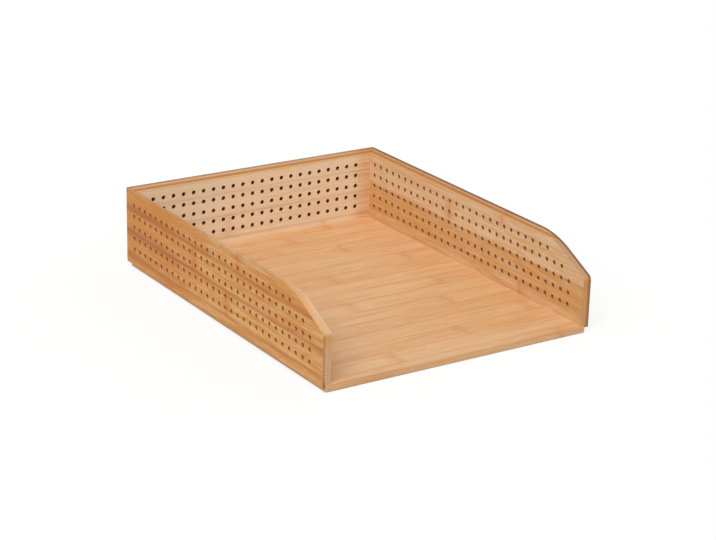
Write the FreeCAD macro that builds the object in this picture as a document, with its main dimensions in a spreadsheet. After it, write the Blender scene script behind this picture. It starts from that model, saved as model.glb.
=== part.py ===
"""Stackable bamboo letter tray: four glued panels, millimetres, +Z up.

The origin is on the table under the middle of the tray. X runs across the tray and Y runs from its open
front to its back. The base stands below the walls as a foot, and the walls have a step round the inside
of the top edge, in which the foot of the next tray sits.
"""
import FreeCAD, Part
import math
import os
import Sketcher

# The driving dimensions, each with its cell's alias, value and meaning.
SIZES = [
    ("overall_width", 256, "across the outer faces of the side panels"),
    ("overall_depth", 325, "open front to the outer face of the back panel"),
    ("overall_height", 72, "table to the top edge of the walls"),
    ("wall_thickness", 7.5, "side and back panels"),
    ("base_thickness", 7, "base panel"),
    ("rebate_depth", 2, "how far the base is let into the lower edges of the walls"),
    ("lip_thickness", 2.75, "wall left standing outside the stacking step"),
    ("step_depth", 3.6, "stacking step, down from the top edge"),
    ("stack_clearance", 0.25, "foot to the lip of the tray below, on each side"),
    ("slope_drop", 23.6, "top edge down to the corner where the slope meets the front edge"),
    ("slope_angle", 26.5, "slope of the side panels towards the front, degrees"),
    ("shoulder_radius", 83, "bend from the flat top edge into the slope"),
    ("nose_radius", 5, "bend from the slope into the front edge"),
    ("corner_radius", 2, "upright rear corners of the walls"),
    ("edge_radius", 1.5, "eased outer edges of the walls and lower edges of the base"),
    ("hole_width", 3.5, "perforations, across their flats"),
    ("hole_pitch", 10, "perforations, centre to centre both ways"),
    ("top_margin", 12.5, "top edge to the first row of holes"),
    ("bottom_margin", 12, "least distance of a hole from the lower edge of a wall"),
    ("rear_margin", 15.5, "outer rear face to the first column of a side panel"),
    ("front_margin", 10, "least distance of a hole from the front edge and the slope"),
    ("back_margin", 20, "least distance of a hole from the ends of the back panel"),
]

# Expressions on the sheet that several pieces share. A wall's own heights start at its lower edge.
HALF_WIDTH = "sizes.overall_width / 2"
HALF_DEPTH = "sizes.overall_depth / 2"
BASE_DROP = "(sizes.base_thickness - sizes.rebate_depth)"
BASE_INSET = "(sizes.lip_thickness + sizes.stack_clearance)"
WALL_HEIGHT = "(sizes.overall_height - %s)" % BASE_DROP
NOSE_HEIGHT = "(%s - sizes.slope_drop)" % WALL_HEIGHT
SLOPE_LENGTH = "sizes.slope_drop / tan(sizes.slope_angle)"
HOLE_ROWS = "floor((%s - sizes.top_margin - sizes.bottom_margin) / sizes.hole_pitch) + 1" % WALL_HEIGHT
# The perforations are hexagons, so that hundreds of them stay light.
HOLE_SIDES = 6
HOLE_CORNER = "sizes.hole_width / 2 / cos(180 / %d)" % HOLE_SIDES
# The cutting sketches reach past the panels by one wall thickness.
OVERCUT = "sizes.wall_thickness"

TOUCHING = 1e-4

doc = FreeCAD.newDocument("letter_tray")
sheet = doc.addObject("Spreadsheet::Sheet", "sizes")
for row, (alias, value, meaning) in enumerate(SIZES, start=1):
    sheet.set("A%d" % row, alias)
    sheet.set("B%d" % row, str(value))
    sheet.set("C%d" % row, meaning)
    sheet.setAlias("B%d" % row, alias)
doc.recompute()


def measure(expression):
    """Work out an expression on the sheet as a plain number."""
    return float(sheet.evalExpression(expression))


def origin_feature(body, role):
    """Give the origin plane or axis of a body that has this role."""
    return next(item for item in body.Origin.OriginFeatures if item.Role == role)


def new_sketch(body, name, plane, offset=None):
    """Start a sketch on an origin plane of the body, moved along its normal by an expression."""
    sketch = body.newObject("Sketcher::SketchObject", name)
    sketch.AttachmentSupport = [(origin_feature(body, plane), "")]
    sketch.MapMode = "FlatFace"
    if offset:
        sketch.setExpression("AttachmentOffset.Base.z", offset)
    return sketch


def tie_point(sketch, edge, end, across, along):
    """Hold a point of the sketch at two distances from the sketch's origin, given as expressions."""
    for kind, distance in (("DistanceX", across), ("DistanceY", along)):
        index = sketch.addConstraint(Sketcher.Constraint(kind, -1, 1, edge, end, 1.0))
        sketch.setExpression("Constraints[%d]" % index, distance)


def draw_polygon(sketch, corners):
    """Draw a regular polygon, and pull its corners to the given pairs of expressions."""
    count = len(corners)
    turn = 2 * math.pi / count
    ring = [FreeCAD.Vector(math.cos(turn * step), math.sin(turn * step), 0) for step in range(count)]
    edges = []
    for step in range(count):
        edges.append(sketch.addGeometry(Part.LineSegment(ring[step], ring[(step + 1) % count])))
    for step in range(count):
        sketch.addConstraint(Sketcher.Constraint("Coincident", edges[step], 2, edges[(step + 1) % count], 1))
    for edge, (across, along) in zip(edges, corners):
        tie_point(sketch, edge, 1, across, along)


def draw_hole(sketch, across, along):
    """Draw one perforation about a pair of expressions."""
    corners = []
    for step in range(HOLE_SIDES):
        angle = 360 * (step + 0.5) / HOLE_SIDES
        corners.append(("%s + %s * cos(%g)" % (across, HOLE_CORNER, angle),
                        "%s + %s * sin(%g)" % (along, HOLE_CORNER, angle)))
    draw_polygon(sketch, corners)


def pad(body, name, sketch, length):
    """Pad a sketch along its normal by an expression."""
    feature = body.newObject("PartDesign::Pad", name)
    feature.Profile = sketch
    feature.setExpression("Length", length)
    doc.recompute()


def require_cut(body, before):
    """Stop if the last feature took nothing off the body."""
    doc.recompute()
    if body.Shape.Volume > before - TOUCHING:
        raise RuntimeError("a feature of %s cut nothing" % body.Label)


def cut_through(body, name, sketch):
    """Pocket a sketch through the whole body, both ways."""
    before = body.Shape.Volume
    feature = body.newObject("PartDesign::Pocket", name)
    feature.Profile = sketch
    feature.SideType = "Symmetric"
    feature.Type = "ThroughAll"
    require_cut(body, before)
    return feature


def round_edges(body, name, radius, chosen):
    """Fillet the edges of the body that pass a test on their end points."""
    base = body.Tip
    names = []
    for index, edge in enumerate(base.Shape.Edges, start=1):
        if chosen([vertex.Point for vertex in edge.Vertexes]):
            names.append("Edge%d" % index)
    before = body.Shape.Volume
    feature = body.newObject("PartDesign::Fillet", name)
    feature.Base = (base, names)
    feature.setExpression("Radius", radius)
    require_cut(body, before)


def drill_holes(body, name, plane, places, step_axis, backwards, count):
    """Drill holes at pairs of expressions, and repeat them along an axis of the body."""
    sketch = new_sketch(body, name + "_sketch", plane)
    for across, along in places:
        draw_hole(sketch, across, along)
    holes = cut_through(body, name + "_first", sketch)
    before = body.Shape.Volume
    pattern = body.newObject("PartDesign::LinearPattern", name)
    pattern.Originals = [holes]
    pattern.Direction = (origin_feature(body, step_axis), [""])
    pattern.Reversed = backwards
    pattern.Mode = "Spacing"
    pattern.setExpression("Offset", "sizes.hole_pitch")
    pattern.setExpression("Occurrences", count)
    body.Tip = pattern
    require_cut(body, before)


def row_height(row):
    """Give the expression for the height of a row of holes above the lower edge of a wall."""
    return "%s - sizes.top_margin - %d * sizes.hole_pitch" % (WALL_HEIGHT, row)


def near(first, second):
    """Tell whether two coordinates are the same."""
    return abs(first - second) < TOUCHING


def cut_edge_profiles(body, plane, outer_face):
    """Cut the stacking step and the rebate for the base along the inside of a wall.

    The sketches lie across the wall, and outer_face is the expression for its outer face there.
    """
    inside = "%s - sizes.wall_thickness - %s" % (outer_face, OVERCUT)
    lip = "%s - sizes.lip_thickness" % outer_face
    ledge = "%s - sizes.step_depth" % WALL_HEIGHT
    above = "%s + %s" % (WALL_HEIGHT, OVERCUT)
    step = new_sketch(body, body.Label + "_step_sketch", plane)
    draw_polygon(step, [(inside, ledge), (lip, ledge), (lip, above), (inside, above)])
    cut_through(body, body.Label + "_step", step)

    base_edge = "%s - %s" % (outer_face, BASE_INSET)
    base_top = "sizes.rebate_depth"
    below = "-%s" % OVERCUT
    rebate = new_sketch(body, body.Label + "_rebate_sketch", plane)
    draw_polygon(rebate, [(inside, below), (base_edge, below), (base_edge, base_top), (inside, base_top)])
    cut_through(body, body.Label + "_rebate", rebate)


def make_right_side_panel():
    """Make the right wall: sloped front, mitred rear end, stacking step, rebate and perforations."""
    body = doc.addObject("PartDesign::Body", "right_side_panel")
    body.Label = "right_side_panel"
    body.setExpression("Placement.Base.z", BASE_DROP)

    front = "-%s" % HALF_DEPTH
    shoulder = "%s + %s" % (front, SLOPE_LENGTH)
    inner = "%s - sizes.wall_thickness" % HALF_WIDTH
    outline = new_sketch(body, "side_outline", "YZ_Plane", inner)
    draw_polygon(outline, [(front, "0"), (HALF_DEPTH, "0"), (HALF_DEPTH, WALL_HEIGHT),
                           (shoulder, WALL_HEIGHT), (front, NOSE_HEIGHT)])
    pad(body, "side_pad", outline, "sizes.wall_thickness")

    front_y = measure(front)
    rear_y = measure(HALF_DEPTH)
    outer_x = measure(HALF_WIDTH)
    top_z = measure(WALL_HEIGHT)
    nose_z = measure(NOSE_HEIGHT)
    shoulder_y = measure(shoulder)
    round_edges(body, "shoulder", "sizes.shoulder_radius", lambda ends: all(
        near(end.y, shoulder_y) and near(end.z, top_z) for end in ends))
    round_edges(body, "nose", "sizes.nose_radius", lambda ends: all(
        near(end.y, front_y) and near(end.z, nose_z) for end in ends))
    round_edges(body, "side_rear_corner", "sizes.corner_radius", lambda ends: all(
        near(end.x, outer_x) and near(end.y, rear_y) for end in ends))

    beyond_width = "%s + %s" % (HALF_WIDTH, OVERCUT)
    beyond_depth = "%s + %s" % (HALF_DEPTH, OVERCUT)
    mitre = new_sketch(body, "side_mitre_sketch", "XY_Plane")
    draw_polygon(mitre, [(inner, "%s - sizes.wall_thickness" % HALF_DEPTH),
                         (beyond_width, beyond_depth), (inner, beyond_depth)])
    cut_through(body, "side_mitre", mitre)
    cut_edge_profiles(body, "XZ_Plane", HALF_WIDTH)

    seam_y = measure("%s - sizes.corner_radius" % HALF_DEPTH)
    round_edges(body, "side_outer_edges", "sizes.edge_radius", lambda ends: all(
        near(end.x, outer_x) for end in ends) and not all(near(end.y, seam_y) for end in ends))

    # Each row runs forward from the same rear column and stops short of the front edge or the slope.
    for row in range(int(measure(HOLE_ROWS))):
        height = row_height(row)
        slope_y = "(%s - %s) / tan(sizes.slope_angle)" % (height, NOSE_HEIGHT)
        clear = "max(sizes.front_margin; %s + sizes.front_margin / sin(sizes.slope_angle))" % slope_y
        span = "(sizes.overall_depth - sizes.rear_margin - %s)" % clear
        drill_holes(body, "side_row%d" % (row + 1), "YZ_Plane",
                    [("%s - sizes.rear_margin" % HALF_DEPTH, height)], "Y_Axis", True,
                    "floor(%s / sizes.hole_pitch) + 1" % span)
    return body


def make_left_side_panel(right):
    """Mirror the right wall across the middle of the tray."""
    panel = doc.addObject("Part::Mirroring", "left_side_panel")
    panel.Label = "left_side_panel"
    panel.Source = right
    panel.Normal = FreeCAD.Vector(1, 0, 0)
    doc.recompute()
    return panel


def make_back_panel():
    """Make the back wall: mitred at both ends, with the same step, rebate and perforations."""
    body = doc.addObject("PartDesign::Body", "back_panel")
    body.Label = "back_panel"
    body.setExpression("Placement.Base.z", BASE_DROP)

    left = "-%s" % HALF_WIDTH
    outline = new_sketch(body, "back_outline", "XZ_Plane", "-%s" % HALF_DEPTH)
    draw_polygon(outline, [(left, "0"), (HALF_WIDTH, "0"), (HALF_WIDTH, WALL_HEIGHT), (left, WALL_HEIGHT)])
    pad(body, "back_pad", outline, "sizes.wall_thickness")

    rear_y = measure(HALF_DEPTH)
    outer_x = measure(HALF_WIDTH)
    round_edges(body, "back_rear_corners", "sizes.corner_radius", lambda ends: all(
        near(abs(end.x), outer_x) and near(end.y, rear_y) for end in ends) and near(ends[0].x, ends[1].x))

    inner = "%s - sizes.wall_thickness" % HALF_DEPTH
    beyond_width = "%s + %s" % (HALF_WIDTH, OVERCUT)
    beyond_depth = "%s + %s" % (HALF_DEPTH, OVERCUT)
    mitre = new_sketch(body, "back_mitre_sketch", "XY_Plane")
    draw_polygon(mitre, [("%s - sizes.wall_thickness" % HALF_WIDTH, inner), (beyond_width, inner),
                         (beyond_width, beyond_depth)])
    right_mitre = cut_through(body, "back_right_mitre", mitre)
    before = body.Shape.Volume
    left_mitre = body.newObject("PartDesign::Mirrored", "back_left_mitre")
    left_mitre.Originals = [right_mitre]
    left_mitre.MirrorPlane = (origin_feature(body, "YZ_Plane"), [""])
    body.Tip = left_mitre
    require_cut(body, before)
    cut_edge_profiles(body, "YZ_Plane", HALF_DEPTH)

    round_edges(body, "back_outer_edges", "sizes.edge_radius", lambda ends: all(
        near(end.y, rear_y) for end in ends) and not near(ends[0].x, ends[1].x))

    # The columns are centred on the panel.
    columns = "floor((sizes.overall_width - 2 * sizes.back_margin) / sizes.hole_pitch) + 1"
    first_column = "-(%s - 1) * sizes.hole_pitch / 2" % columns
    column = [(first_column, row_height(row)) for row in range(int(measure(HOLE_ROWS)))]
    drill_holes(body, "back_columns", "XZ_Plane", column, "X_Axis", False, columns)
    return body


def make_base_panel():
    """Make the base: a flat panel seated in the walls' rebates, flush with their front edges."""
    body = doc.addObject("PartDesign::Body", "base_panel")
    body.Label = "base_panel"
    side = "%s - %s" % (HALF_WIDTH, BASE_INSET)
    rear = "%s - %s" % (HALF_DEPTH, BASE_INSET)
    front = "-%s" % HALF_DEPTH
    outline = new_sketch(body, "base_outline", "XY_Plane")
    draw_polygon(outline, [("-(%s)" % side, front), (side, front), (side, rear), ("-(%s)" % side, rear)])
    pad(body, "base_pad", outline, "sizes.base_thickness")
    round_edges(body, "base_lower_edges", "sizes.edge_radius", lambda ends: all(
        near(end.z, 0) for end in ends) or not near(ends[0].z, ends[1].z))
    return body


right_side_panel = make_right_side_panel()
pieces = [right_side_panel, make_left_side_panel(right_side_panel), make_back_panel(), make_base_panel()]

for item in doc.Objects:
    if "Invalid" in item.State or "Error" in item.State:
        raise RuntimeError("%s failed to build" % item.Label)
for piece in pieces:
    if piece.Shape.isNull() or not piece.Shape.isValid():
        raise RuntimeError("%s has no valid shape" % piece.Label)

os.makedirs("parts", exist_ok=True)
for piece in pieces:
    piece.Shape.exportStep(os.path.join("parts", piece.Label + ".step"))
    print("%s: %.1f cm3" % (piece.Label, piece.Shape.Volume / 1000))
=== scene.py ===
"""Perforated bamboo letter tray: its panels, their finish and the studio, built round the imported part."""
import math
from typing import NamedTuple

import bmesh
import bpy
from bpy.props import FloatProperty, FloatVectorProperty, IntProperty, PointerProperty
from mathutils import Matrix, Vector


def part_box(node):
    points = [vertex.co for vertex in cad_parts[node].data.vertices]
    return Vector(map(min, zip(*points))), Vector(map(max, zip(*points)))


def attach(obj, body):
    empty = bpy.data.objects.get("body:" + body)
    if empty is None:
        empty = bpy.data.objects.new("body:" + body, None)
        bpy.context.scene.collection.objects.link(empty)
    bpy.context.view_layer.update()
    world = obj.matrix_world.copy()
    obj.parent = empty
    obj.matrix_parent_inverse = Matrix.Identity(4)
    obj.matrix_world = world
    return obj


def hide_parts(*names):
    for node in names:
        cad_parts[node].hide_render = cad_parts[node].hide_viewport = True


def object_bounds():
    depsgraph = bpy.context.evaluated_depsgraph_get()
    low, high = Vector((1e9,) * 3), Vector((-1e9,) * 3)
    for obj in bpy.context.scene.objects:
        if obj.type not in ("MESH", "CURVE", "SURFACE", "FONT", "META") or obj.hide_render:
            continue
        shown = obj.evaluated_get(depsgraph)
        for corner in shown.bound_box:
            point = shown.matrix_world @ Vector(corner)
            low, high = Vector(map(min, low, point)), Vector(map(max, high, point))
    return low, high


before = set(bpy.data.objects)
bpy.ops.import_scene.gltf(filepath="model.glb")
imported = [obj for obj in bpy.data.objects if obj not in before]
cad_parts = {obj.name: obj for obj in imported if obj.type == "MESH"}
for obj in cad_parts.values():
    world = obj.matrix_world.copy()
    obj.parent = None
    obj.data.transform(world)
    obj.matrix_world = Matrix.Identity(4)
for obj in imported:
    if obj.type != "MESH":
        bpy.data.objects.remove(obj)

bl_info = {
    "name": "Bamboo Letter Tray",
    "version": (1, 0, 0),
    "blender": (4, 5, 0),
    "location": "View3D > Sidebar > Tray",
    "description": "Builds a stackable bamboo letter tray with perforated walls",
    "category": "Add Mesh",
}

TRAY_LOW, TRAY_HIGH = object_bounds()
WALL_LOW, WALL_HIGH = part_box("right_side_panel")
BASE_LOW, BASE_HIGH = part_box("base_panel")

X, Y, Z = range(3)
# Smallest difference that counts, in metres or in hole pitches.
TOUCHING = 1e-6
# Steps of a bend in an outline, and segments round a rear corner, an outer edge and an inner edge.
ARC_STEPS = 16
CORNER_SEGMENTS = 8
EDGE_SEGMENTS = 4
FINE_SEGMENTS = 2
# An edge that turns more than the crease is eased, and one that turns less than the fair one is shaded
# smooth.
CREASE = math.radians(40)
FAIR = math.radians(35)
# Parts of a face's normal: out of the tray in a wall's outer skin and, at most, in a face square to it, and
# along the wall in the sawn front of a side panel.
SKIN_TURN = 0.05
SQUARE_TURN = 0.01
FRONT_TURN = -0.03
# Material slots of a wall, after that of its board.
BORED, SAWN = 1, 2


def length(name, description, default):
    """A length property, in metres."""
    return FloatProperty(name=name, description=description, default=default, unit="LENGTH", precision=5)


def angle(name, description, degrees):
    """An angle property with its default in degrees."""
    return FloatProperty(name=name, description=description, default=math.radians(degrees), unit="ROTATION")


def colour(name, description, default):
    """A linear colour property."""
    return FloatVectorProperty(name=name, description=description, default=default, subtype="COLOR",
                               min=0.0, max=1.0)


class TraySizes(bpy.types.PropertyGroup):
    """Sizes of the tray."""
    width: length("Width", "Across the outer faces of the side panels", TRAY_HIGH.x - TRAY_LOW.x)
    depth: length("Depth", "Open front to the outer face of the back panel", TRAY_HIGH.y - TRAY_LOW.y)
    height: length("Height", "Table to the top edge of the walls", TRAY_HIGH.z - TRAY_LOW.z)
    wall_thickness: length("Wall", "Thickness of the side and back panels", WALL_HIGH.x - WALL_LOW.x)
    wall_foot: length("Wall foot", "Table to the lower edge of the walls", WALL_LOW.z)
    base_thickness: length("Base", "Thickness of the base panel", BASE_HIGH.z - BASE_LOW.z)
    base_inset: length("Base inset", "Outer faces of the walls to the edge of the base",
                       TRAY_HIGH.x - BASE_HIGH.x)
    lip_thickness: length("Lip", "Wall left standing outside the stacking step", 0.00275)
    step_depth: length("Step", "Depth of the stacking step below the top edge", 0.0036)
    slope_drop: length("Slope drop", "Top edge down to the corner of the slope and the front edge", 0.0236)
    slope_angle: angle("Slope", "Slope of the side panels towards the front", 26.5)
    shoulder_radius: length("Shoulder", "Bend from the top edge into the slope", 0.083)
    nose_radius: length("Nose", "Bend from the slope into the front edge", 0.005)
    corner_radius: length("Rear corner", "Upright rear corners of the walls", 0.002)
    edge_radius: length("Outer edge", "Rounding of the outer edges", 0.0015)
    fine_radius: length("Inner edge", "Rounding of the inner edges", 0.0004)
    hole_diameter: length("Hole", "Diameter of a perforation", 0.0037)
    hole_rim: length("Hole rim", "Bevel at the mouth of a perforation", 0.0002)
    hole_pitch: length("Hole pitch", "Perforations, centre to centre both ways", 0.010)
    top_margin: length("Top margin", "Top edge to the first row of holes", 0.0125)
    bottom_margin: length("Bottom margin", "Least distance of a hole from the lower edge of a wall", 0.012)
    rear_margin: length("Rear margin", "Outer rear face to the first column of a side panel", 0.0155)
    front_margin: length("Front margin", "Least distance of a hole from the front edge and the slope", 0.010)
    back_margin: length("Back margin", "Least distance of a hole from the ends of the back panel", 0.020)
    hole_sides: IntProperty(name="Hole sides", description="Facets round a perforation", default=16, min=6)


class BambooLook(bpy.types.PropertyGroup):
    """Colours and scale of the bamboo boards."""
    pale: colour("Pale", "Palest fibres of a strip", (0.780, 0.585, 0.400))
    warm: colour("Warm", "Warmest fibres of a strip", (0.600, 0.285, 0.085))
    streak: colour("Streak", "Dark streaks along the glued joints of the strips", (0.430, 0.155, 0.036))
    ring: colour("Ring", "Ruddy band round a growth ring", (0.590, 0.200, 0.070))
    knuckle: colour("Knuckle", "Growth rings across a strip", (0.330, 0.120, 0.036))
    # The back panel's holes are darker than the side panels' as painted shade deep in the oblique bores.
    bored: colour("Bored", "Walls of the back panel's perforations", (0.160, 0.062, 0.018))
    bored_side: colour("Bored side", "Walls of the side panels' perforations", (0.300, 0.120, 0.034))
    end_grain: colour("End grain", "Sawn faces of the strips", (0.430, 0.195, 0.075))
    # The inner tint and the paler inner tones of the right and back boards are partly painted light: bounce
    # and sheen on the tray's inside.
    inner_tint_and_light: colour("Inner tint", "Tint of the walls' inner faces", (0.96, 1.0, 1.0))
    outer_tint: colour("Outer tint", "Tint of the walls' outer faces", (0.98, 0.78, 0.46))
    slope_tint: colour("Slope tint", "Tint of the right side panel's sloped front", (0.70, 0.76, 0.80))
    # The upper edges' tints are painted light and shade: darker on the right and back panels, whose
    # roundings face away from the light, and paler and greyer on the left panel's lit top.
    right_edge_shade: colour("Right edge", "Tint of the right side panel's upper edges", (0.27, 0.16, 0.08))
    left_edge_light: colour("Left edge", "Tint of the left side panel's upper edges", (0.78, 0.73, 0.65))
    back_edge_shade: colour("Back edge", "Tint of the back panel's upper edges", (0.46, 0.35, 0.24))
    base_tint: colour("Base tint", "Tint of the base panel's board", (0.92, 0.78, 0.63))
    strip_height: length("Strip", "Width of one bamboo strip", 0.0212)


class StageLook(bpy.types.PropertyGroup):
    """Floor, light and camera."""
    floor: colour("Floor", "Plain pale floor, as the camera sees it", (0.92, 0.92, 0.92))
    bounce: colour("Bounce", "Floor as the tray sees it", (0.45, 0.45, 0.45))
    whiteness: FloatProperty(name="Whiteness", description="Share of plain white in the floor's look",
                             default=0.8, subtype="FACTOR", min=0.0, max=1.0)
    floor_size: length("Floor size", "Side of the square floor", 12.0)
    sky: FloatProperty(name="Sky", description="Strength of the soft light from all round", default=0.5)
    key: FloatProperty(name="Key", description="Strength of the main light", default=2.6)
    key_softness: angle("Key softness", "Apparent size of the main light", 50.0)
    key_azimuth: angle("Key azimuth", "Main light, to the left of the front", 45.0)
    key_elevation: angle("Key elevation", "Main light above the horizon", 46.0)
    camera_place: FloatVectorProperty(name="Camera", description="Place of the camera",
                                      default=(-0.8995, -1.3809, 0.6296), subtype="TRANSLATION")
    camera_azimuth: angle("Camera azimuth", "Camera to the left of the front", 33.32)
    camera_elevation: angle("Camera elevation", "Camera above the horizon", 20.14)
    camera_roll: angle("Camera roll", "Tilt of the camera about its line of sight", 1.457)
    camera_lens: FloatProperty(name="Lens", description="Focal length", default=104.5, unit="CAMERA")


# Modelling


def lies_at(item, axis, level):
    """Tell whether an edge or face lies at one level of an axis."""
    return all(abs(vert.co[axis] - level) < TOUCHING for vert in item.verts)


def faces_at(bm, level):
    """The faces of a wall that lie flat at one distance from its inner face."""
    return [face for face in bm.faces if lies_at(face, Z, level)]


def fill_outline(bm, corners):
    """Fill an outline of (corner, bend radius) pairs, counter-clockwise, with spun arcs in its bends."""
    count = len(corners)
    ends = []
    for index, (corner, radius) in enumerate(corners):
        before = (corners[index - 1][0] - corner).normalized()
        after = (corners[(index + 1) % count][0] - corner).normalized()
        if not radius:
            vert = bm.verts.new(corner)
            ends.append((vert, vert))
            continue
        turn = math.pi - before.angle(after)
        start = bm.verts.new(corner + before * radius * math.tan(turn / 2))
        centre = corner + (before + after).normalized() * radius / math.cos(turn / 2)
        arc = bmesh.ops.spin(bm, geom=[start], cent=centre, axis=(0, 0, 1), angle=turn, steps=ARC_STEPS)
        ends.append((start, arc["geom_last"][0]))
    for index in range(count):
        bm.edges.new((ends[index - 1][1], ends[index][0]))
    bmesh.ops.edgeloop_fill(bm, edges=bm.edges[:])


def extrude(bm, faces, reach):
    """Extrude faces along Z, the thickness of a panel."""
    edges = dict.fromkeys(edge for face in faces for edge in face.edges)
    made = bmesh.ops.extrude_face_region(bm, geom=[*faces, *edges])["geom"]
    verts = [item for item in made if isinstance(item, bmesh.types.BMVert)]
    bmesh.ops.translate(bm, vec=(0, 0, reach), verts=verts)


def split_at_height(bm, faces, height):
    """Split faces of a wall along a level line."""
    edges = dict.fromkeys(edge for face in faces for edge in face.edges)
    verts = dict.fromkeys(vert for face in faces for vert in face.verts)
    bmesh.ops.bisect_plane(bm, geom=[*faces, *edges, *verts], plane_co=(0, height, 0), plane_no=(0, 1, 0))


def bevel(bm, chosen, radius, segments):
    """Round the edges that pass a test."""
    edges = [edge for edge in bm.edges if chosen(edge)]
    bmesh.ops.bevel(bm, geom=edges, offset=radius, offset_type="OFFSET", segments=segments,
                    profile=0.5, affect="EDGES", material=-1, clamp_overlap=True)


def mitre(bm, end, thickness):
    """Cut one end of a wall at 45 degrees, inwards from its outer face."""
    side = math.copysign(1, end)
    cut = bmesh.ops.bisect_plane(bm, geom=bm.verts[:] + bm.edges[:] + bm.faces[:], clear_outer=True,
                                 plane_co=(end - side * thickness, 0, 0), plane_no=(side, 0, -1))
    edges = [item for item in cut["geom_cut"] if isinstance(item, bmesh.types.BMEdge)]
    bmesh.ops.edgeloop_fill(bm, edges=edges)


def wall_blank(sizes, corners, ends):
    """Model a wall without its perforations: X runs along it, Y up from its lower edge, Z out of the tray.

    Its inner face is at Z 0. The ends are the values of X where it is mitred into the next wall.
    """
    thickness = sizes.wall_thickness
    lip = thickness - sizes.lip_thickness
    seat = thickness - sizes.base_inset
    rebate = sizes.base_thickness - sizes.wall_foot
    ledge = sizes.height - sizes.wall_foot - sizes.step_depth

    def at_end(item):
        return any(lies_at(item, X, end) for end in ends)

    def is_rear_corner(edge):
        return at_end(edge) and lies_at(edge, Z, thickness)

    def is_outer_rim(edge):
        side, skin = sorted(edge.link_faces, key=lambda face: face.normal.z)
        return skin.normal.z > SKIN_TURN and abs(side.normal.z) < SQUARE_TURN and not at_end(side)

    def is_inner_ridge(edge):
        inside = all(vert.co.z < lip + TOUCHING and vert.co.y > rebate - TOUCHING for vert in edge.verts)
        joined = at_end(edge) or lies_at(edge, Y, rebate)
        return inside and not joined and edge.calc_face_angle_signed() > CREASE

    bm = bmesh.new()
    fill_outline(bm, [(Vector((along, up, thickness)), radius) for along, up, radius in corners])
    extrude(bm, bm.faces[:], lip - thickness)
    split_at_height(bm, faces_at(bm, lip), ledge)
    split_at_height(bm, faces_at(bm, lip), rebate)
    extrude(bm, [face for face in faces_at(bm, lip) if face.calc_center_median().y < ledge], seat - lip)
    extrude(bm, [face for face in faces_at(bm, seat) if face.calc_center_median().y > rebate], -seat)
    bmesh.ops.recalc_face_normals(bm, faces=bm.faces[:])
    bevel(bm, is_rear_corner, sizes.corner_radius, CORNER_SEGMENTS)
    bevel(bm, is_outer_rim, sizes.edge_radius, EDGE_SEGMENTS)
    bevel(bm, is_inner_ridge, sizes.fine_radius, FINE_SEGMENTS)
    for end in ends:
        mitre(bm, end, thickness)
    return bm


def side_outline(sizes):
    """Corners of a side panel, each with its bend radius, counter-clockwise from the lower front."""
    front = -sizes.depth / 2
    rear = sizes.depth / 2
    top = sizes.height - sizes.wall_foot
    shoulder = front + sizes.slope_drop / math.tan(sizes.slope_angle)
    return [(front, 0, 0), (rear, 0, 0), (rear, top, 0), (shoulder, top, sizes.shoulder_radius),
            (front, top - sizes.slope_drop, sizes.nose_radius)]


def back_outline(sizes):
    """Corners of the back panel, counter-clockwise from the lower left, without bends."""
    half = sizes.width / 2
    top = sizes.height - sizes.wall_foot
    return [(-half, 0, 0), (half, 0, 0), (half, top, 0), (-half, top, 0)]


def mark_sawn_front(bm):
    """Give the front end and slope of a side panel the material of sawn strips."""
    for face in bm.faces:
        if face.normal.x < FRONT_TURN:
            face.material_index = SAWN


def perforate(bm, sizes, places):
    """Bore holes with bevelled mouths through a wall."""
    thickness = sizes.wall_thickness
    radius = sizes.hole_diameter / 2
    rim = sizes.hole_rim
    rings = [(0, radius + rim), (rim, radius), (thickness - rim, radius), (thickness, radius + rim)]
    for level in (0, thickness):
        skin = max(faces_at(bm, level), key=lambda face: face.calc_area())
        bmesh.ops.delete(bm, geom=[skin], context="FACES_ONLY")
    bored = []
    for along, up in places:
        for (low, low_radius), (high, high_radius) in zip(rings, rings[1:]):
            middle = Matrix.Translation((along, up, (low + high) / 2))
            made = bmesh.ops.create_cone(bm, cap_ends=False, segments=sizes.hole_sides, radius1=low_radius,
                                         radius2=high_radius, depth=high - low, matrix=middle)["verts"]
            if low_radius == high_radius:
                for face in {face for vert in made for face in vert.link_faces}:
                    face.material_index = BORED
            bored += made
    bmesh.ops.remove_doubles(bm, verts=bored, dist=TOUCHING)
    mouths = [edge for edge in bm.edges if len(edge.link_faces) == 1]
    for level, outward in ((0, -1), (thickness, 1)):
        rings = [edge for edge in mouths if lies_at(edge, Z, level)]
        bmesh.ops.triangle_fill(bm, use_beauty=True, edges=rings, normal=(0, 0, outward))


def hole_count(sizes, span):
    """How many holes fit where the first and the last may be this far apart."""
    return int(span / sizes.hole_pitch + TOUCHING) + 1


def hole_rows(sizes):
    """Heights of the rows of holes above the lower edge of a wall."""
    top = sizes.height - sizes.wall_foot - sizes.top_margin
    return [top - row * sizes.hole_pitch for row in range(hole_count(sizes, top - sizes.bottom_margin))]


def side_holes(sizes):
    """Places of a side panel's holes: each row runs forward from the rear and stops short of the slope."""
    nose = sizes.height - sizes.wall_foot - sizes.slope_drop
    rear = sizes.depth / 2 - sizes.rear_margin
    places = []
    for up in hole_rows(sizes):
        slope = (up - nose) / math.tan(sizes.slope_angle) + sizes.front_margin / math.sin(sizes.slope_angle)
        span = sizes.depth - sizes.rear_margin - max(sizes.front_margin, slope)
        places += [(rear - column * sizes.hole_pitch, up) for column in range(hole_count(sizes, span))]
    return places


def back_holes(sizes):
    """Places of the back panel's holes, in columns centred on the panel."""
    count = hole_count(sizes, sizes.width - 2 * sizes.back_margin)
    first = -(count - 1) / 2 * sizes.hole_pitch
    return [(first + column * sizes.hole_pitch, up) for up in hole_rows(sizes) for column in range(count)]


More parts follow.
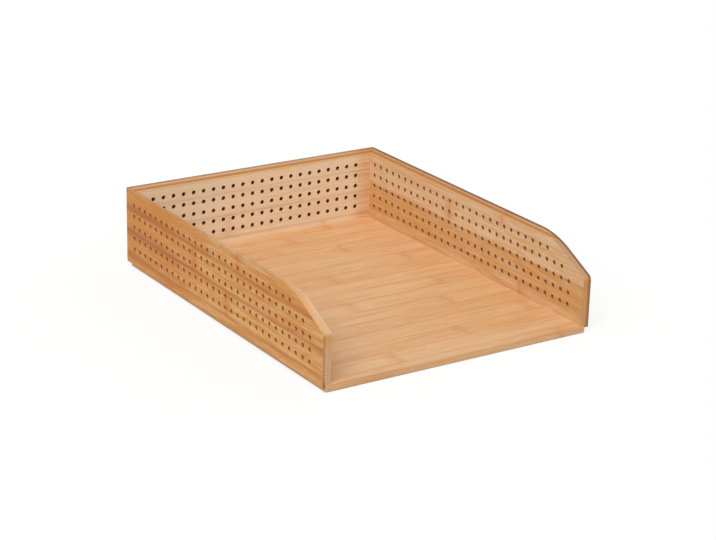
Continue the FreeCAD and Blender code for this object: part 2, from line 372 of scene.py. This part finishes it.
def stand_wall(bm, along, outward, inner, foot):
    """Stand a wall in the tray, by the ways that it runs and faces and the places of its inside and foot."""
    up = Vector((0, 0, 1))
    turn = Matrix((along, up, outward)).transposed().to_4x4()
    place = Matrix.Translation(outward * inner + up * foot)
    bmesh.ops.transform(bm, matrix=place @ turn, verts=bm.verts[:])


def finish_piece(bm, name, node, materials):
    """Turn a bmesh into a finished piece that stands for a CAD node and rides on the tray."""
    bmesh.ops.recalc_face_normals(bm, faces=bm.faces[:])
    for face in bm.faces:
        face.smooth = True
    for edge in bm.edges:
        edge.smooth = edge.calc_face_angle(0) < FAIR
    mesh = bpy.data.meshes.new(name)
    bm.to_mesh(mesh)
    bm.free()
    for material in materials:
        mesh.materials.append(material)
    piece = bpy.data.objects.new(name, mesh)
    bpy.context.scene.collection.objects.link(piece)
    # The large faces are shaded flat up to their roundings.
    shading = piece.modifiers.new("flat_faces", "WEIGHTED_NORMAL")
    shading.mode = "FACE_AREA"
    shading.weight = 100
    shading.keep_sharp = True
    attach(piece, "root")
    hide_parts(node)


# Materials


class Wire:
    """A shader socket that takes part in Python sums; each operator adds a Math node."""

    def __init__(self, graph, socket):
        self.graph = graph
        self.socket = socket

    def calculate(self, operation, *values):
        return self.graph.node("Math", {"operation": operation}, dict(enumerate(values)))

    def __add__(self, other):
        return self.calculate("ADD", self, other)

    __radd__ = __add__

    def __sub__(self, other):
        return self.calculate("SUBTRACT", self, other)

    def __rsub__(self, other):
        return self.calculate("SUBTRACT", other, self)

    def __mul__(self, other):
        return self.calculate("MULTIPLY", self, other)

    __rmul__ = __mul__

    def __truediv__(self, other):
        return self.calculate("DIVIDE", self, other)

    def __rtruediv__(self, other):
        return self.calculate("DIVIDE", other, self)

    def __abs__(self):
        return self.calculate("ABSOLUTE", self)

    def floor(self):
        return self.calculate("FLOOR", self)

    def least(self, other):
        return self.calculate("MINIMUM", self, other)

    def bell(self, reach):
        """A soft bump of the given half width round zero."""
        scaled = self / reach
        return self.calculate("EXPONENT", scaled * scaled * -1)

    def ramp(self, low, high):
        """Go smoothly from 0 at one value to 1 at another, which may be the lower one."""
        return self.graph.node("MapRange", {"interpolation_type": "SMOOTHSTEP"},
                               {"Value": self, "From Min": low, "From Max": high})

    def choose(self, values):
        """Pick one of a list of values by a whole number that counts from -1."""
        return self.graph.node("ValToRGB", {"stops": values}, {0: (self + 1.5) / len(values)})


class Graph:
    """The node tree of one material or of the world."""

    def __init__(self, tree):
        self.tree = tree
        tree.nodes.clear()

    def node(self, kind, settings=None, sockets=None, output=0):
        """Add a node: its settings and a ramp's stops first, then the values or links of its sockets."""
        made = self.tree.nodes.new("ShaderNode" + kind)
        for name, value in (settings or {}).items():
            if name == "stops":
                self.set_stops(made.color_ramp, value)
            else:
                setattr(made, name, value)
        for key, value in (sockets or {}).items():
            if isinstance(value, Wire):
                self.tree.links.new(value.socket, made.inputs[key])
            else:
                made.inputs[key].default_value = value
        return Wire(self, made.outputs[output]) if made.outputs else None

    def set_stops(self, ramp, greys):
        """Divide a ramp into equal constant parts."""
        ramp.interpolation = "CONSTANT"
        ramp.elements.remove(ramp.elements[1])
        for number in range(1, len(greys)):
            ramp.elements.new(number / len(greys))
        for stop, grey in zip(ramp.elements, greys):
            stop.color = (grey, grey, grey, 1)

    def mix(self, factor, first, second):
        """Blend two colours."""
        return self.node("Mix", {"data_type": "RGBA"}, {0: factor, 6: first, 7: second}, 2)

    def tinted(self, shade, tint):
        """Multiply a colour by a tint."""
        multiply = {"data_type": "RGBA", "blend_type": "MULTIPLY"}
        return self.node("Mix", multiply, {0: 1.0, 6: shade, 7: tint}, 2)

    def point(self):
        """Object coordinates."""
        return self.node("TexCoord", None, None, "Object")

    def axes(self, vector):
        """The three numbers of a vector."""
        return [self.node("SeparateXYZ", None, {0: vector}, name) for name in "XYZ"]

    def vector(self, x, y, z):
        return self.node("CombineXYZ", None, {0: x, 1: y, 2: z})

    def scaled(self, vector, scale):
        return self.node("VectorMath", {"operation": "SCALE"}, {0: vector, "Scale": scale})

    def noise(self, vector, detail=2.0, rough=0.5):
        """Plain noise between 0 and 1 on a vector that is already scaled."""
        sockets = {"Vector": vector, "Scale": 1.0, "Detail": detail, "Roughness": rough}
        return self.node("TexNoise", None, sockets)


def new_material(name):
    """An empty material and its graph."""
    material = bpy.data.materials.new(name)
    material.use_nodes = True
    return material, Graph(material.node_tree)


def opaque(rgb):
    """A colour with full alpha."""
    return (*rgb, 1.0)


class Finish(NamedTuple):
    """How a surface takes the light: roughness, how far that varies, relief, reflection and lacquer."""
    rough: float
    spread: float
    relief: float
    specular: float
    coat: float = 0.0


LACQUERED = Finish(rough=0.46, spread=0.12, relief=0.25, specular=0.2, coat=0.03)
DRILLED = Finish(rough=0.75, spread=0.15, relief=0.3, specular=0.1)
CROSSCUT = Finish(rough=0.58, spread=0.12, relief=0.3, specular=0.2)
COAT_ROUGHNESS = 0.3
RELIEF_DEPTH = 0.0002


def add_surface(graph, finish, shade, rough, height):
    """End a material in one Principled shader."""
    bump = {"Strength": finish.relief, "Distance": RELIEF_DEPTH, "Height": height}
    relief = graph.node("Bump", None, bump)
    surface = graph.node("BsdfPrincipled", None, {
        "Base Color": shade, "Roughness": rough, "Normal": relief, "Specular IOR Level": finish.specular,
        "Coat Weight": finish.coat, "Coat Roughness": COAT_ROUGHNESS})
    graph.node("OutputMaterial", None, {"Surface": surface})


class Grain(NamedTuple):
    """One scale of the bamboo's figure, as noise.

    Along and across are its waves per metre, low and high the noise that counts as 0 and 1, and the weight
    is its part in the look.
    """
    along: float
    across: float
    low: float
    high: float
    weight: float
    detail: float = 2.0
    rough: float = 0.5


CLOUD = Grain(along=8, across=70, low=0.25, high=0.75, weight=0.3, detail=3.0)
LINES = Grain(along=20, across=640, low=0.3, high=0.7, weight=0.5, detail=4.0, rough=0.6)
FIBRES = Grain(along=60, across=1300, low=0.3, high=0.7, weight=0.5, detail=3.0, rough=0.7)
VEINS = Grain(along=9, across=230, low=0.56, high=0.74, weight=0.22)
SPECKLE = Grain(along=300, across=420, low=0.2, high=0.75, weight=0.6)
# Shift of the figure from strip to strip, in waves.
STRIP_SHIFT = 9
# Joints between the strips: waves per metre in which they wander, how far they do, and the sizes in metres
# and the strengths of their streaks and glue.
JOINT_WAVES = (7, 30)
JOINT_DRIFT = 0.0016
STREAK_REACH = 0.0019
STREAK_WIDENING = 0.004
STREAK_GRAIN = 0.3
GLUE_REACH = 0.00035
GLUE_WEIGHT = 0.35
# Fading of the streaks along a joint: waves per metre, shift from joint to joint, the noise that counts as 0
# and 1, and what is left where they are faintest.
FADE_WAVES = 13
FADE_SHIFT = 5.3
FADE_RANGE = (0.2, 0.7)
FAINTEST = 0.6
# Growth rings: waves per metre, shift from ring to ring, sizes in metres, and strengths.
RING_WAVES = 160
RING_SHIFT = 3.7
RING_WANDER = 0.006
RING_REACH = 0.006
RING_WEIGHT = 0.7
RING_DULLNESS = 0.06
KNUCKLE_OFFSET = 0.0012
KNUCKLE_REACH = 0.001
KNUCKLE_WEIGHT = 0.45
# Added to the places of growth rings, so that a ramp can hold those before the middle of a board.
RING_ORIGIN = 0.5
# Stacking step, all in metres: the lip from its inner skin to its outer one, the start of the painted shade
# below the ledge, its reaches up and across, those of the darker painted shade in the step's inner corner,
# and the top of a wall, which takes the painted light or shade of its upper edges.
LIP_INNER = 0.0003
LIP_MIDDLE = 0.0012
LIP_OUTER = 0.0026
LEDGE_SHADE_FADE = (-0.0012, 0.0002)
LEDGE_SHADE_REACH = (0.0024, 0.009)
CORNER_SHADE_REACH = (0.0013, 0.0018)
CORNER_SHADE_WEIGHT = 0.75
TOP_FADE = 0.0007


class Board(NamedTuple):
    """How the bamboo strips of one panel lie and look.

    Grain and stack are the axes along the fibres and across the strips, and the first joint is the lowest.
    Tones, joints, knuckles and outer tones hold one value for each strip, from the one below the first
    joint: its tone from pale to warm, the darkness of its lower joint, the place of its growth ring, and its
    tone on a wall's outer face. Figure and ringing are the strengths of the grain and of the growth rings.
    Far darkening is added from one place along the fibres to another; on the back board it is painted shade
    in the back-right inner corner. Step shade is the strength of the painted shade in the stacking step.
    """
    grain: str
    stack: str
    first_joint: float
    tones: tuple
    joints: tuple
    knuckles: tuple
    figure: float
    ringing: float
    seed: int
    outer_tones: tuple = ()
    far: tuple = (0.0, 0.1)
    far_darkening: float = 0.0
    step_shade: float = 0.0


# The paler inner tones of this board and the back board are partly painted bounce light; the outer tones
# hold the board's own colour.
RIGHT_BOARD = Board(
    grain="Y", stack="Z", first_joint=-0.0022, seed=3, figure=0.65, ringing=0.65, step_shade=0.8,
    tones=(0.5, 0.66, 0.7, 0.44, 0.45), outer_tones=(0.64,) * 5, far=(0.02, 0.1), far_darkening=0.06,
    joints=(0.2, 0.2, 0.25, 0.35, 0.1), knuckles=(0.12, -0.08, 0.2, 0.027, -0.05))
LEFT_BOARD = Board(
    grain="Y", stack="Z", first_joint=0.0132, seed=11, figure=1.1, ringing=0.8, step_shade=0.2,
    tones=(0.64, 0.63, 0.66, 0.64), outer_tones=(0.57, 0.55, 0.6, 0.62), far=(0.02, 0.1), far_darkening=0.34,
    joints=(0.5, 0.6, 1.0, 0.9), knuckles=(0.08, -0.0155, 0.0395, -0.033))
# Its far darkening is painted shade towards the back-right inner corner.
BACK_BOARD = Board(
    grain="X", stack="Z", first_joint=0.012, seed=23, figure=0.6, ringing=0.3, step_shade=0.8,
    tones=(0.12,) * 4, outer_tones=(0.64,) * 4, far=(0.095, 0.118), far_darkening=0.45,
    joints=(0.2, 0.2, 0.2, 0.1), knuckles=(0.07, -0.03, 0.2, 0.2))
BASE_BOARD = Board(
    grain="X", stack="Y", first_joint=-0.154, seed=41, figure=0.5, ringing=0.4,
    tones=(0.4, 0.36, 0.43, 0.38, 0.45, 0.4, 0.35, 0.42, 0.38, 0.44, 0.39, 0.36, 0.43, 0.4, 0.37, 0.41),
    joints=(0.18,) * 16,
    knuckles=(0.1, -0.05, 0.03, 0.11, -0.09, 0.06, -0.02, 0.08,
              -0.11, 0.0, 0.09, -0.06, 0.05, -0.1, 0.02, 0.07))


class Step(NamedTuple):
    """Stacking step of a wall: its ledge's height, its depth and its lip's distance from the middle."""
    ledge: float
    depth: float
    lip: float


def wall_step(sizes, extent):
    """The step of a wall that ends the width or the depth of the tray."""
    return Step(sizes.height - sizes.step_depth, sizes.step_depth, extent / 2 - sizes.lip_thickness)


def bamboo_board(name, look, board, tint, edge=None, step=None):
    """Bamboo strips glued edge to edge, with fibres, dark joints and a growth ring in each strip.

    A wall also has painted light or shade on its upper edges, and painted shade in its stacking step,
    darkest in the step's inner corner.
    """
    material, graph = new_material(name)
    axes = dict(zip("XYZ", graph.axes(graph.point())))
    along = axes.pop(board.grain)
    across = axes.pop(board.stack)
    through = axes.popitem()[1]
    seed = board.seed

    def figured(grain, across_shift=0, through_shift=0):
        place = graph.vector(along * grain.along, across * grain.across + across_shift,
                             through * grain.across + through_shift)
        return graph.noise(place, grain.detail, grain.rough).ramp(grain.low, grain.high)

    wander = graph.vector(along * JOINT_WAVES[0], across * JOINT_WAVES[1], seed)
    drift = graph.noise(wander, detail=1.0) - 0.5
    strip = (across + drift * JOINT_DRIFT - board.first_joint) / look.strip_height
    index = strip.floor()
    part = strip - index
    joint = part.least(1 - part) * look.strip_height
    own = graph.node("TexWhiteNoise", {"noise_dimensions": "1D"}, {"W": index + seed}, "Value")

    cloud = figured(CLOUD, across_shift=own * STRIP_SHIFT)
    lines = figured(LINES, through_shift=own * STRIP_SHIFT)
    fibres = figured(FIBRES)
    veins = figured(VEINS, across_shift=seed)
    speckle = figured(SPECKLE)

    fade = graph.noise(graph.vector(along * FADE_WAVES, index * FADE_SHIFT + seed, 0)).ramp(*FADE_RANGE)
    # Darker and warmer towards one end of a board; on the back board this is painted shade in the inner
    # corner.
    far = along.ramp(*board.far) * board.far_darkening
    streaks = joint.bell(far * STREAK_WIDENING + STREAK_REACH) * (strip + 0.5).floor().choose(board.joints)
    streaks = streaks * (FAINTEST + fade * (1 - FAINTEST) + far)
    glue = 1 - joint.ramp(0.0, GLUE_REACH)

    wave = graph.noise(graph.vector(index * RING_SHIFT, across * RING_WAVES, through * RING_WAVES)) - 0.5
    ring_place = index.choose([place + RING_ORIGIN for place in board.knuckles])
    ring = along + RING_ORIGIN - ring_place + wave * RING_WANDER
    band = ring.bell(RING_REACH) * (1 - SPECKLE.weight + speckle * SPECKLE.weight)
    knuckle = (ring - KNUCKLE_OFFSET).bell(KNUCKLE_REACH) * speckle

    figure = (cloud - 0.5) * CLOUD.weight + (lines - 0.5) * LINES.weight + (fibres - 0.5) * FIBRES.weight
    tone = index.choose(board.tones)
    if step:
        above = across - step.ledge
        beyond = abs(through) - step.lip
        outer = beyond.ramp(LIP_MIDDLE, LIP_OUTER)
        tone = tone + outer * (index.choose(board.outer_tones) - tone)
    warmth = (tone + far + figure * board.figure).ramp(0.0, 1.0)
    shade = graph.mix(warmth, opaque(look.pale), opaque(look.warm))
    shade = graph.mix(veins * VEINS.weight * board.figure, shade, opaque(look.streak))
    streaks = streaks * (1 - STREAK_GRAIN + lines * STREAK_GRAIN)
    shade = graph.mix(streaks, shade, opaque(look.streak))
    shade = graph.mix(glue * GLUE_WEIGHT, shade, opaque(look.streak))
    shade = graph.mix(band * RING_WEIGHT * board.ringing, shade, opaque(look.ring))
    shade = graph.mix(knuckle * KNUCKLE_WEIGHT * board.ringing, shade, opaque(look.knuckle))
    tint = opaque(tint)
    # Painted shade in the stacking step: warmer along the ledge and darkest in the step's inner corner.
    if step:
        inside = beyond.ramp(LIP_MIDDLE, LIP_INNER) * board.step_shade
        ledge_shade = above.ramp(*LEDGE_SHADE_FADE) * above.bell(LEDGE_SHADE_REACH[0]) * beyond.bell(LEDGE_SHADE_REACH[1])
        shade = graph.mix(ledge_shade * inside, shade, opaque(look.warm))
        corner_shade = above.bell(CORNER_SHADE_REACH[0]) * beyond.bell(CORNER_SHADE_REACH[1]) * CORNER_SHADE_WEIGHT
        shade = graph.mix(corner_shade * inside, shade, opaque(look.streak))
        tint = graph.mix(outer, tint, opaque(look.outer_tint))
        # The top of the wall takes its painted light or shade.
        tint = graph.mix(above.ramp(step.depth - TOP_FADE, step.depth), tint, opaque(edge))
    shade = graph.tinted(shade, tint)

    height = fibres * 0.5 + lines * 0.4 - glue * 0.8 + knuckle * 0.3
    rough = LACQUERED.rough + (lines - 0.5) * LACQUERED.spread + band * RING_DULLNESS
    add_surface(graph, LACQUERED, shade, rough, height)
    return material


# Scorched walls of the drilled holes: waves per metre, the noise that counts as 0 and 1, and how much paler
# their pale spots are.
SCORCH_WAVES = 900.0
SCORCH_RANGE = (0.2, 0.9)
SCORCH_PALER = 1.7


def bored_bamboo(name, ground):
    """Dark, rough walls of the drilled holes."""
    material, graph = new_material(name)
    scorch = graph.noise(graph.scaled(graph.point(), SCORCH_WAVES))
    spots = [part * SCORCH_PALER for part in ground]
    shade = graph.mix(scorch.ramp(*SCORCH_RANGE), opaque(ground), opaque(spots))
    add_surface(graph, DRILLED, shade, DRILLED.rough + scorch * DRILLED.spread, scorch)
    return material


# Sawn front of a side panel: its pores and layers in waves per metre, with what counts as 0 and 1 in them,
# and places in metres. The nose's are measured down from the corner of the slope, the shoulder's down from
# the top edge and the others inwards from the outer face, and the foot's second reach is upwards. The foot's
# reaches place a painted shadow under the left panel's front end, and the rims are painted shade on the
# right panel's outer rounding.
PORE_WAVES = 1500.0
PORE_RANGE = (0.55, 0.15)
LAYER_WAVES = (800, 25)
LAYER_RANGE = (-0.2, 1.0)
RIGHT_HALF = (0.0, 0.001)
NOSE_TURN = (0.0001, 0.0016)
NOSE_STAIN = (0.0144, -0.0016)
SHOULDER_STAIN = (0.012, 0.001)
OUTER_STAIN = (0.0018, 0.0)
DARK_LINE = 0.001
DARK_LINE_REACH = 0.0007
FOOT_SHADOW_REACH = (0.0016, 0.005)
SLOPE_RIM_SHADE = (0.0032, 0.0016)
FRONT_RIM_SHADE = (0.0042, 0.003)


def sawn_bamboo(look, sizes):
    """Sawn strip ends: pores in a duller ground, warmer in places, painted shade at right rim and left foot.
    """
    material, graph = new_material("sawn_bamboo")
    point = graph.point()
    dense = {"Vector": graph.scaled(point, PORE_WAVES), "Scale": 1.0}
    pores = graph.node("TexVoronoi", {"feature": "F1"}, dense, "Distance").ramp(*PORE_RANGE)
    side, depth, height = graph.axes(point)
    place = graph.vector(side * LAYER_WAVES[0], depth * LAYER_WAVES[1], height * LAYER_WAVES[1])
    layers = graph.noise(place, detail=3.0)
    shade = graph.mix(layers.ramp(*LAYER_RANGE), opaque(look.end_grain), opaque(look.pale))
    shade = graph.mix(pores * 0.25, shade, opaque(look.knuckle))

    below_top = sizes.height - height
    below_nose = sizes.height - sizes.slope_drop - height
    inward = sizes.width / 2 - abs(side)
    front = below_nose.ramp(*NOSE_TURN)
    right = side.ramp(*RIGHT_HALF)
    left = 1 - right
    outward = inward.ramp(sizes.wall_thickness, sizes.edge_radius) * 0.25 + inward.ramp(*OUTER_STAIN) * 0.35
    # Warmer towards the left panel's nose and outer face, across the right panel's front and below the
    # shoulder.
    warming = front * (0.4 + below_nose.ramp(*NOSE_STAIN) * 0.5) + (1 - front) * left * (0.16 + outward)
    warming = warming + right * 0.35 + below_top.ramp(*SHOULDER_STAIN) * 0.25 + 0.06
    shade = graph.mix(warming.least(1), shade, opaque(look.warm))

    beside = inward - DARK_LINE
    line = beside.bell(DARK_LINE_REACH) * 0.7
    # Painted shadow at the foot of the left panel's front end, beside the base.
    foot = (height - sizes.wall_foot).bell(FOOT_SHADOW_REACH[1]) * beside.bell(FOOT_SHADOW_REACH[0]) * 0.8
    dark = right * 0.15 + front * left * (line + foot)
    shade = graph.mix(dark.least(1), shade, opaque(look.knuckle))
    tint = graph.mix(right * (0.75 - front * 0.75), (1, 1, 1, 1), opaque(look.slope_tint))
    # Painted shade on the right panel's outer rounding, which faces away from the light, down the slope and
    # front.
    rim = inward.ramp(*SLOPE_RIM_SHADE) * (0.8 - front * 0.45) + inward.ramp(*FRONT_RIM_SHADE) * front * 0.2
    tint = graph.mix(rim * right, tint, opaque(look.right_edge_shade))
    shade = graph.tinted(shade, tint)
    add_surface(graph, CROSSCUT, shade, CROSSCUT.rough + layers * CROSSCUT.spread, 1 - pores)
    return material


# Operators


class TRAY_OT_base_panel(bpy.types.Operator):
    """Model the base panel, seated in the walls' rebates"""
    bl_idname = "tray.base_panel"
    bl_label = "Base Panel"

    def execute(self, context):
        sizes = context.scene.tray_sizes
        look = context.scene.tray_bamboo
        side = sizes.width / 2 - sizes.base_inset
        rear = sizes.depth / 2 - sizes.base_inset
        front = -sizes.depth / 2

        def is_upper(edge):
            return lies_at(edge, Z, sizes.base_thickness)

        bm = bmesh.new()
        corners = [(-side, front), (side, front), (side, rear), (-side, rear)]
        fill_outline(bm, [(Vector((*corner, 0)), 0) for corner in corners])
        extrude(bm, bm.faces[:], sizes.base_thickness)
        bmesh.ops.recalc_face_normals(bm, faces=bm.faces[:])
        bevel(bm, lambda edge: not is_upper(edge), sizes.edge_radius, EDGE_SEGMENTS)
        bevel(bm, lambda edge: is_upper(edge) and edge.calc_face_angle(0) > CREASE,
              sizes.fine_radius, FINE_SEGMENTS)
        board = bamboo_board("base_bamboo", look, BASE_BOARD, look.base_tint)
        finish_piece(bm, "base", "base_panel", [board])
        return {"FINISHED"}


class TRAY_OT_side_panels(bpy.types.Operator):
    """Model the two perforated side panels with their sloped fronts"""
    bl_idname = "tray.side_panels"
    bl_label = "Side Panels"

    def execute(self, context):
        sizes = context.scene.tray_sizes
        look = context.scene.tray_bamboo
        inner = sizes.width / 2 - sizes.wall_thickness
        step = wall_step(sizes, sizes.width)
        bored = bored_bamboo("side_bored", look.bored_side)
        sawn = sawn_bamboo(look, sizes)
        for name, side, strips, edge in (("right", 1, RIGHT_BOARD, look.right_edge_shade),
                                         ("left", -1, LEFT_BOARD, look.left_edge_light)):
            bm = wall_blank(sizes, side_outline(sizes), [sizes.depth / 2])
            mark_sawn_front(bm)
            perforate(bm, sizes, side_holes(sizes))
            stand_wall(bm, Vector((0, 1, 0)), Vector((side, 0, 0)), inner, sizes.wall_foot)
            board = bamboo_board(name + "_bamboo", look, strips, look.inner_tint_and_light, edge, step)
            finish_piece(bm, name + "_side", name + "_side_panel", [board, bored, sawn])
        return {"FINISHED"}


class TRAY_OT_back_panel(bpy.types.Operator):
    """Model the perforated back panel, mitred at both ends"""
    bl_idname = "tray.back_panel"
    bl_label = "Back Panel"

    def execute(self, context):
        sizes = context.scene.tray_sizes
        look = context.scene.tray_bamboo
        inner = sizes.depth / 2 - sizes.wall_thickness
        bm = wall_blank(sizes, back_outline(sizes), [sizes.width / 2, -sizes.width / 2])
        perforate(bm, sizes, back_holes(sizes))
        stand_wall(bm, Vector((1, 0, 0)), Vector((0, 1, 0)), inner, sizes.wall_foot)
        step = wall_step(sizes, sizes.depth)
        board = bamboo_board("back_bamboo", look, BACK_BOARD, look.inner_tint_and_light, look.back_edge_shade, step)
        bored = bored_bamboo("back_bored_shaded", look.bored)
        finish_piece(bm, "back", "back_panel", [board, bored])
        return {"FINISHED"}


class TRAY_OT_stage(bpy.types.Operator):
    """Set the pale floor, the soft light and the camera"""
    bl_idname = "tray.stage"
    bl_label = "Stage"

    def execute(self, context):
        scene = context.scene
        stage = scene.tray_stage
        scene.view_settings.view_transform = "Standard"
        self.add_floor(scene, stage)
        self.add_light(scene, stage)
        self.add_camera(scene, stage)
        return {"FINISHED"}

    def seen_directly(self, graph):
        """1 for what the camera sees, also in a reflection or through glass, and 0 for light on the tray."""
        kinds = ("Camera", "Glossy", "Transmission")
        return sum(graph.node("LightPath", None, None, "Is %s Ray" % kind) for kind in kinds).least(1)

    def add_floor(self, scene, stage):
        bm = bmesh.new()
        bmesh.ops.create_grid(bm, x_segments=1, y_segments=1, size=stage.floor_size / 2)
        mesh = bpy.data.meshes.new("floor")
        bm.to_mesh(mesh)
        bm.free()
        material, graph = new_material("floor")
        seen = self.seen_directly(graph)
        paint = graph.mix(seen, opaque(stage.bounce), opaque(stage.floor))
        matt = graph.node("BsdfDiffuse", None, {"Color": paint})
        glow = graph.node("Emission", None, {"Strength": 1.0})
        blend = graph.node("MixShader", None, {0: seen * stage.whiteness, 1: matt, 2: glow})
        graph.node("OutputMaterial", None, {"Surface": blend})
        mesh.materials.append(material)
        floor = bpy.data.objects.new("floor", mesh)
        scene.collection.objects.link(floor)

    def add_light(self, scene, stage):
        world = bpy.data.worlds.new("studio")
        scene.world = world
        world.use_nodes = True
        graph = Graph(world.node_tree)
        strength = self.seen_directly(graph) * (1 - stage.sky) + stage.sky
        light = graph.node("Background", None, {"Color": (1, 1, 1, 1), "Strength": strength})
        graph.node("OutputWorld", None, {"Surface": light})
        sun = bpy.data.lights.new("key", "SUN")
        sun.energy = stage.key
        sun.angle = stage.key_softness
        key = bpy.data.objects.new("key", sun)
        key.rotation_euler = (math.pi / 2 - stage.key_elevation, 0, -stage.key_azimuth)
        scene.collection.objects.link(key)

    def add_camera(self, scene, stage):
        data = bpy.data.cameras.new("camera")
        data.lens = stage.camera_lens
        camera = bpy.data.objects.new("camera", data)
        turn = Matrix.Rotation(-stage.camera_azimuth, 4, "Z")
        tilt = Matrix.Rotation(math.pi / 2 - stage.camera_elevation, 4, "X")
        roll = Matrix.Rotation(stage.camera_roll, 4, "Z")
        camera.matrix_world = Matrix.Translation(stage.camera_place) @ turn @ tilt @ roll
        scene.collection.objects.link(camera)
        scene.camera = camera


class TRAY_PT_sidebar(bpy.types.Panel):
    """Lists the tray's pieces and its stage"""
    bl_idname = "TRAY_PT_sidebar"
    bl_label = "Letter Tray"
    bl_space_type = "VIEW_3D"
    bl_region_type = "UI"
    bl_category = "Tray"

    def draw(self, context):
        for operator in OPERATORS:
            self.layout.operator(operator.bl_idname)
        for group in GROUPS:
            settings = getattr(context.scene, group)
            box = self.layout.box()
            for name in settings.bl_rna.properties.keys():
                if name not in ("rna_type", "name"):
                    box.prop(settings, name)


GROUPS = {"tray_sizes": TraySizes, "tray_bamboo": BambooLook, "tray_stage": StageLook}
OPERATORS = (TRAY_OT_base_panel, TRAY_OT_side_panels, TRAY_OT_back_panel, TRAY_OT_stage)
CLASSES = (*GROUPS.values(), *OPERATORS, TRAY_PT_sidebar)


def register():
    for cls in CLASSES:
        bpy.utils.register_class(cls)
    for name, group in GROUPS.items():
        setattr(bpy.types.Scene, name, PointerProperty(type=group))


def unregister():
    for name in GROUPS:
        delattr(bpy.types.Scene, name)
    for cls in reversed(CLASSES):
        bpy.utils.unregister_class(cls)


def main():
    """Build the tray and its stage."""
    register()
    bpy.ops.tray.base_panel()
    bpy.ops.tray.side_panels()
    bpy.ops.tray.back_panel()
    bpy.ops.tray.stage()


if __name__ == "__main__":
    main()
